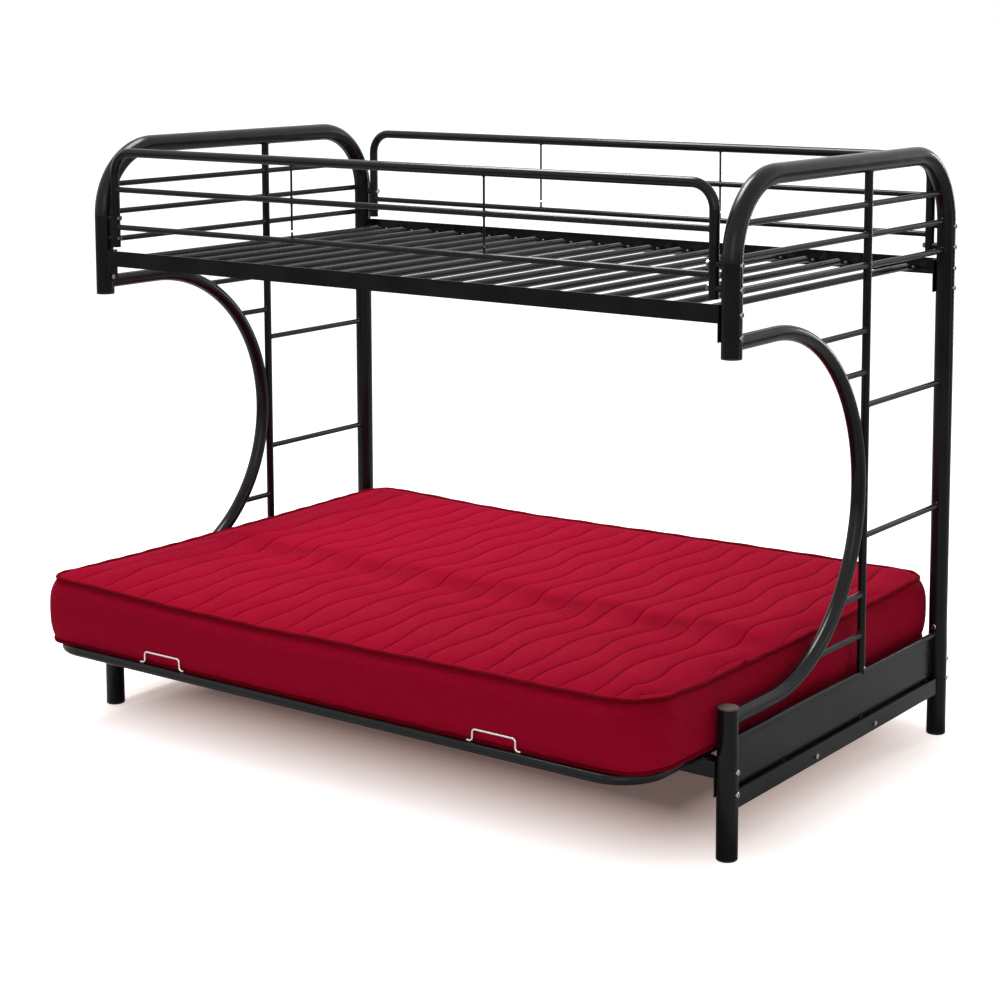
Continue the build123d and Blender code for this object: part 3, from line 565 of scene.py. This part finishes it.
def seam_rise(x, y):
    """How much the upper seam, and the cover inside it, lies above or below its plane."""
    to_rear = held((y - middle_y) / half_depth) ** 2
    to_front = held((middle_y - y) / half_depth) ** 3
    to_right = held(x / half_length) ** 6
    ends = smooth_between(rear_profile, x) * to_rear + smooth_between(front_profile, x) * to_front
    return ends + smooth_between(side_profile, y - hinge_y) * to_right * (1 - to_rear) * (1 - to_front)


def valley_pucker(x, y):
    """In the valley the cover is drawn down in soft diamonds, one to every four rows."""
    row_phase = cos(2 * pi * (x - middle_line_x) / (diamond_rows * line_pitch) + diamond_phase)
    across_valley = (y - hinge_y + valley_offset + valley_sway * row_phase) / valley_width
    return -valley_depth * exp(-(across_valley**2)) * (1 - diamond_share + diamond_share * row_phase)


def painted_valley_shade(y, row, share):
    """How strongly painted shade darkens the cloth on the slope from the ridge into the valley."""
    crest_y = hinge_y - shade_offset + shade_sway * cos(row * pi / 2 + shade_phase)
    fall = (crest_y - y) / shade_length
    if fall <= 0 or fall >= 1:
        return 0.0
    across_row = (4 * share * (1 - share)) ** shade_row_power
    along_fall = held(fall / shade_rise_share) * (1 - fall) ** shade_fall_power
    return along_fall * across_row * (1 - shade_wave_share + shade_wave_share * cos(row * pi / 2))


def front_sink(y):
    """The underside's front edge sinks between the deck's slats, behind the front tube."""
    return -sink_depth * held((mattress_front + sink_start - y) / sink_run)


def underside_relief(y):
    """The underside is drawn up a little at the hinge line, where the mattress folds."""
    offset = abs(y - hinge_y) / relief_reach
    return relief_height * (1 - offset**2) ** 2 if offset < 1 else 0.0


def rounded_corner(x, y):
    """Round off the plan's corners: gives the new place, how far inside the seam it is, and its way out."""
    side_x = 1 if x > 0 else -1
    side_y = 1 if y > middle_y else -1
    radius = seam_corner_radii[side_x, side_y]
    reach_x = max(abs(x) - (half_length - radius), 0)
    reach_y = max(abs(y - middle_y) - (half_depth - radius), 0)
    distance = min(half_length - abs(x), half_depth - abs(y - middle_y))
    if reach_x > 0 and reach_y > 0:
        scale = max(reach_x, reach_y) / hypot(reach_x, reach_y)
        reach_x, reach_y = reach_x * scale, reach_y * scale
        x = side_x * (half_length - radius + reach_x)
        y = middle_y + side_y * (half_depth - radius + reach_y)
        distance = radius - hypot(reach_x, reach_y)
    return x, y, distance, Vector((side_x * reach_x, side_y * reach_y, 0))


def top_rise(x, y, distance, share, width):
    """How high the quilted top stands above its seam."""
    in_front = (mattress_front + edge_zone - y) / zone_fade
    in_rear = (y - mattress_rear + edge_zone) / zone_fade
    at_left = (edge_zone - half_length - x) / zone_fade
    front_share = held(min(in_front, (half_length - abs(x)) / zone_end_fade))
    rear_share = held(min(in_rear, (half_length - x) / zone_end_fade))
    left_share = held(min(at_left, (y - mattress_front) / zone_end_fade))
    far_share = max(rear_share, left_share) * (1 - front_share)
    run = edge_run + (front_edge_run - edge_run) * front_share + (far_edge_run - edge_run) * far_share
    rise = min(distance / run, 1)
    lean = x / half_length
    raised = smooth_between(top_profile, y - hinge_y) + end_lift * lean**2 - right_drop * lean
    crown = raised * rise * (2 - rise)
    pucker = valley_pucker(x, y) * min(distance / valley_fade, 1)
    near_edge = min(distance / (puff_fade + far_puff_fade * far_share), 1)
    puff = puff_rise * ((4 * share * (1 - share)) ** puff_power - puff_level_share)
    return crown + pucker + puff * near_edge * min(width / line_pitch, 1)


cover = bmesh.new()
bmesh.ops.create_cube(cover, size=2.0)
for axis, cuts in enumerate((column_count - 1, rows_across - 1, wall_rows - 1)):
    edges = [edge for edge in cover.edges if abs((edge.verts[0].co - edge.verts[1].co)[axis]) > 1e-6]
    bmesh.ops.subdivide_edges(cover, edges=edges, cuts=cuts, use_grid_fill=True)

quilt_place = cover.verts.layers.float_vector.new("quilt_place")
# painted shade: a strength at each point for the darkened valley slope
valley_shade_layer = cover.verts.layers.float.new("painted_valley_shade")
for vert in cover.verts:
    across, back, rise = vert.co
    at_end = abs(abs(across) - 1) < 1e-6
    at_edge = abs(abs(back) - 1) < 1e-6
    on_top = rise > 0.999
    height = (rise + 1) / 2
    column = min(round((1 - across) / 2 * column_count), column_count)
    y = middle_y + back * half_depth
    x, row_place, width = cover_column(column, y)
    share = row_place % 1
    x, y, distance, outward = rounded_corner(x, y)
    corner_share = 2 * abs(outward.x * outward.y) / outward.length_squared if outward.x and outward.y else 0
    side_x = 1 if x > 0 else -1
    if outward.length < 1e-9:
        outward = side_x * sideways if at_end else (backward if y > middle_y else forward)
    outward = outward.normalized()
    z = low_z + height * thickness
    if at_end or at_edge:
        roundness = 1 - abs(2 * height - 1) ** 3
        hem = bottom_outset * (1 - height)
        outset = hem + (wall_bulge + corner_bulge * corner_share - hem) * roundness
        if side_x > 0:
            groove = exp(-(((y - hinge_y + groove_offset) / groove_width) ** 2))
            outset -= groove_depth * groove * (1 - abs(2 * height - 1) ** 6)
        x += outward.x * outset
        y += outward.y * outset
    elif rise > 0:
        z += top_rise(x, y, distance, share, width)
    elif abs(across) > abs(back):
        x += side_x * bottom_outset * held(1 - distance / hem_run)
    z += seam_rise(x, y) * height
    if height < 0.999:
        z += front_sink(y) * (1 - height) ** 3
        inside = held((half_length + hem_overhang - abs(x)) / hem_run)
        z += underside_relief(y) * (1 - height) * inside
    vert.co = (x, y, z)
    vert[quilt_place] = (row_place, y, 1.0 if on_top else 0.0)
    if on_top:
        row_fade = min(distance / shade_fade, 1) * (1 - shade_row_fade_share * row_place)
        vert[valley_shade_layer] = painted_valley_shade(y, int(row_place), share) * row_fade

bmesh.ops.recalc_face_normals(cover, faces=cover.faces)
quilt_map = cover.loops.layers.uv.new("quilting")
for face in cover.faces:
    on_top = all(vert[quilt_place].z > 0.5 for vert in face.verts)
    for loop in face.loops:
        place = loop.vert[quilt_place]
        loop[quilt_map].uv = (place.x, place.y) if on_top else (0.5, place.y)
cover.verts.layers.float_vector.remove(quilt_place)
cover_mesh = bpy.data.meshes.new("mattress_cover")
cover.to_mesh(cover_mesh)
cover.free()


def corner_arc(number, outset):
    """The centre and radius of the piping at a corner, counted from the right front one."""
    side_x, side_y = ((1, -1), (1, 1), (-1, 1), (-1, -1))[number % 4]
    radius = seam_corner_radii[side_x, side_y]
    centre = Vector((side_x * (half_length - radius), middle_y + side_y * (half_depth - radius), 0))
    return centre, radius + outset


def rim_ring(outset, height_z, upper_share):
    """Points round the mattress at one of its piped seams, with the cord's thickness at each."""
    points = []
    for number in range(4):
        centre, radius = corner_arc(number, outset)
        for step in range(corner_steps + 1):
            angle = (number - 1 + step / corner_steps) * pi / 2
            points.append(centre + Vector((cos(angle), sin(angle), 0)) * radius)
        next_centre, next_radius = corner_arc(number + 1, outset)
        leave = points[-1].copy()
        target = next_centre + (leave - centre).normalized() * next_radius
        for step in range(1, side_steps):
            points.append(leave.lerp(target, step / side_steps))
    ring = []
    for index, point in enumerate(points):
        wobble = sum(size * sin(rate * index + phase) for size, rate, phase in welt_wobbles)
        shift = seam_rise(point.x, point.y) * upper_share + front_sink(point.y) * (1 - upper_share)
        at_right = point.x > 0.9 * half_length
        join = exp(-(((point.y - hinge_y + join_offset) / join_width) ** 2)) if at_right else 0
        z = height_z + shift + wobble + join_lift * join
        ring.append((Vector((point.x, point.y, z)), 1 + join_swell_share * join))
    return ring


cloth, tree, cloth_shader = new_material("red quilted cloth")
cloth_shader.inputs["Roughness"].default_value = 0.85
cloth_shader.inputs["Specular IOR Level"].default_value = 0.06
cloth_shader.inputs["Specular Tint"].default_value = (1.0, 0.25, 0.35, 1)
cloth_shader.inputs["Sheen Weight"].default_value = 0.08
cloth_shader.inputs["Sheen Roughness"].default_value = 0.4
cloth_shader.inputs["Sheen Tint"].default_value = (1.0, 0.10, 0.16, 1)


def computed(tree, operation, first, second=0.0):
    """Work out a value from another node's output and a number or output, and give its output."""
    node = tuned(tree, "ShaderNodeMath", operation=operation)
    tree.links.new(first, node.inputs[0])
    if isinstance(second, float):
        node.inputs[1].default_value = second
    else:
        tree.links.new(second, node.inputs[1])
    return node.outputs[0]


# the weave, its rumples, and the mottle of its threads
place = tree.nodes.new("ShaderNodeTexCoord").outputs["Object"]
threads = []
for direction in ("X", "Y", "Z"):
    thread = tuned(
        tree, "ShaderNodeTexWave", bands_direction=direction,
        Scale=420.0, Distortion=1.2, Detail=1.0, Detail_Scale=0.6,
    )
    threads.append(fed(tree, thread, Vector=place).outputs["Fac"])
woven = computed(tree, "ADD", computed(tree, "ADD", threads[0], threads[1]), threads[2])
rumple = fed(tree, tuned(tree, "ShaderNodeTexNoise", Scale=110.0, Detail=4.0, Roughness=0.65), Vector=place)
mottle = fed(tree, tuned(tree, "ShaderNodeTexNoise", Scale=210.0, Detail=4.0, Roughness=0.75), Vector=place)
weave_bump = fed(tree, tuned(tree, "ShaderNodeBump", Strength=0.5, Distance=0.00025), Height=woven)
rumple_bump = tuned(tree, "ShaderNodeBump", Strength=1.0, Distance=0.0028)
fed(tree, rumple_bump, Height=rumple.outputs["Fac"], Normal=weave_bump.outputs["Normal"])

# painted shade in the crease along each quilting line, and painted shade on the slope into the valley
quilting = tuned(tree, "ShaderNodeUVMap", uv_map="quilting")
split = fed(tree, tree.nodes.new("ShaderNodeSeparateXYZ"), Vector=quilting.outputs["UV"])
in_row = computed(tree, "FRACT", split.outputs["X"])
from_middle = computed(tree, "ABSOLUTE", computed(tree, "SUBTRACT", in_row, 0.5))
crease = tuned(tree, "ShaderNodeMapRange", interpolation_type="SMOOTHSTEP", From_Min=0.455, From_Max=0.5)
fed(tree, crease, Value=from_middle)
valley_shade_attribute = tuned(tree, "ShaderNodeAttribute", attribute_name="painted_valley_shade")
dyed = mixed(tree, (0.235, 0.0015, 0.0140, 1), (0.610, 0.0060, 0.0420, 1), mottle.outputs["Fac"])
# painted shade: the slope from the ridge into the valley is darkened in the colour
valley_shaded = mixed(tree, dyed, (0.215, 0.0012, 0.0110, 1), valley_shade_attribute.outputs["Fac"])
# painted shade: a dark line in the crease of each quilting line
crease_shaded = mixed(tree, valley_shaded, (0.20, 0.0015, 0.009, 1), crease.outputs["Result"])
fed(tree, cloth_shader, Base_Color=crease_shaded, Normal=rumple_bump.outputs["Normal"])

mattress = placed("mattress_cover", cover_mesh, cloth, None)
soft_pieces = [mattress]
for name, outset, height_z, upper_share in (
    ("mattress_welt_top", welt_outset, high_z, 1),
    ("mattress_welt_bottom", welt_outset + bottom_outset, low_z + welt_radius, 0),
):
    welt_mesh = cord_mesh(name, [rim_ring(outset, height_z, upper_share)], welt_radius, 3)
    soft_pieces.append(placed(name, welt_mesh, cloth, None))
for piece in soft_pieces:
    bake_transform(piece)
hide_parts("mattress_seat", "mattress_fold", "mattress_back")

# The floor and the light: a white floor that goes over into the white background, with a brownish painted
# shadow round the bed, a large soft light overhead, a weaker one in front, and two narrow ones that draw
# lines on the tubes.
floor_size = 40
bed_middle = (-0.065, 0.138, 0)
bed_half = (0.815, 0.34, 0)
white_reach = 0.46               # from the middle of the bed's shadow out to white
shadow_tint = (1.0, 0.68, 0.56, 1)

floor_shape = bmesh.new()
bmesh.ops.create_grid(floor_shape, x_segments=1, y_segments=1, size=floor_size)
floor_mesh = bpy.data.meshes.new("floor")
floor_shape.to_mesh(floor_mesh)
floor_shape.free()
floor = bpy.data.objects.new("floor", floor_mesh)
bpy.context.scene.collection.objects.link(floor)
floor_material, tree, floor_shader = new_material("white floor")
floor_shader.inputs["Base Color"].default_value = (0.8, 0.79, 0.78, 1)
floor_shader.inputs["Roughness"].default_value = 0.9
floor_shader.inputs["Specular IOR Level"].default_value = 0.2
reach = tree.nodes.new("ShaderNodeTexCoord").outputs["Object"]
for operation, amount in (
    ("SUBTRACT", bed_middle), ("ABSOLUTE", None), ("SUBTRACT", bed_half), ("MAXIMUM", (0, 0, 0))
):
    step_node = tuned(tree, "ShaderNodeVectorMath", operation=operation)
    if amount:
        step_node.inputs[1].default_value = amount
    tree.links.new(reach, step_node.inputs[0])
    reach = step_node.outputs["Vector"]
from_bed = tuned(tree, "ShaderNodeVectorMath", operation="LENGTH")
tree.links.new(reach, from_bed.inputs[0])
# painted shadow: toward the bed the floor's glow dims, so the floor there is darker than its cast shadow
# alone makes it
away = tuned(tree, "ShaderNodeMapRange", From_Max=white_reach, To_Min=0.09)
fed(tree, away, Value=from_bed.outputs["Value"])
camera_ray = tree.nodes.new("ShaderNodeLightPath").outputs["Is Camera Ray"]
shown = computed(tree, "MULTIPLY", camera_ray, away.outputs["Result"])
# painted shadow colour: the glow turns brownish toward the bed
painted_shadow_colour = mixed(tree, shadow_tint, grey(1.0), away.outputs["Result"])
fed(tree, floor_shader, Emission_Strength=shown, Emission_Color=painted_shadow_colour)
floor.data.materials.append(floor_material)

world = bpy.data.worlds.new("white studio")
bpy.context.scene.world = world
world.use_nodes = True
tree = world.node_tree
background = tree.nodes["Background"]
background.inputs["Color"].default_value = grey(1.0)
path = tree.nodes.new("ShaderNodeLightPath").outputs
mirrored = computed(tree, "MAXIMUM", path["Is Glossy Ray"], path["Is Transmission Ray"])
seen = computed(tree, "MAXIMUM", path["Is Camera Ray"], mirrored)
level = fed(tree, tuned(tree, "ShaderNodeMapRange", To_Min=0.27), Value=seen)
fed(tree, background, Strength=level.outputs["Result"])


def softbox(name, place, aim, width, depth, power):
    """A rectangular lamp, turned to the point that it aims at."""
    light = bpy.data.lights.new(name, "AREA")
    light.shape = "RECTANGLE"
    light.size = width
    light.size_y = depth
    light.energy = power
    lamp = bpy.data.objects.new(name, light)
    lamp.location = place
    lamp.rotation_euler = (Vector(aim) - Vector(place)).to_track_quat("-Z", "Y").to_euler()
    bpy.context.scene.collection.objects.link(lamp)


softbox("overhead_softbox", place=(-1.0, 0.1, 4.2), aim=(0, 0, 0), width=1.8, depth=1.6, power=172)
softbox("front_softbox", place=(3.2, -4.8, 2.6), aim=(0, 0, 0.5), width=2.6, depth=2.2, power=24)
softbox("right_strip", place=(4.2, 1.6, 1.2), aim=(1.0, -0.2, 0.8), width=0.30, depth=2.2, power=5)
softbox("rear_strip", place=(1.7, 4.6, 1.5), aim=(0.5, 0, 0.9), width=0.40, depth=2.0, power=24)

# The camera, at the photograph's viewing angle. Most of its fall to the bed is a shift of the lens,
# as on a catalogue photographer's view camera, which keeps the posts upright.
camera_data = bpy.data.cameras.new("camera")
camera_data.lens = 79.276
camera_data.sensor_width = 36
camera_data.shift_x = -0.038
camera_data.shift_y = -0.22
camera = bpy.data.objects.new("camera", camera_data)
camera.location = (3.6107, -4.7916, 2.0093)
camera.rotation_euler = (radians(83.0166), radians(0.061), radians(35.6263))
bpy.context.scene.collection.objects.link(camera)
bpy.context.scene.camera = camera
bpy.context.scene.view_settings.view_transform = "Standard"
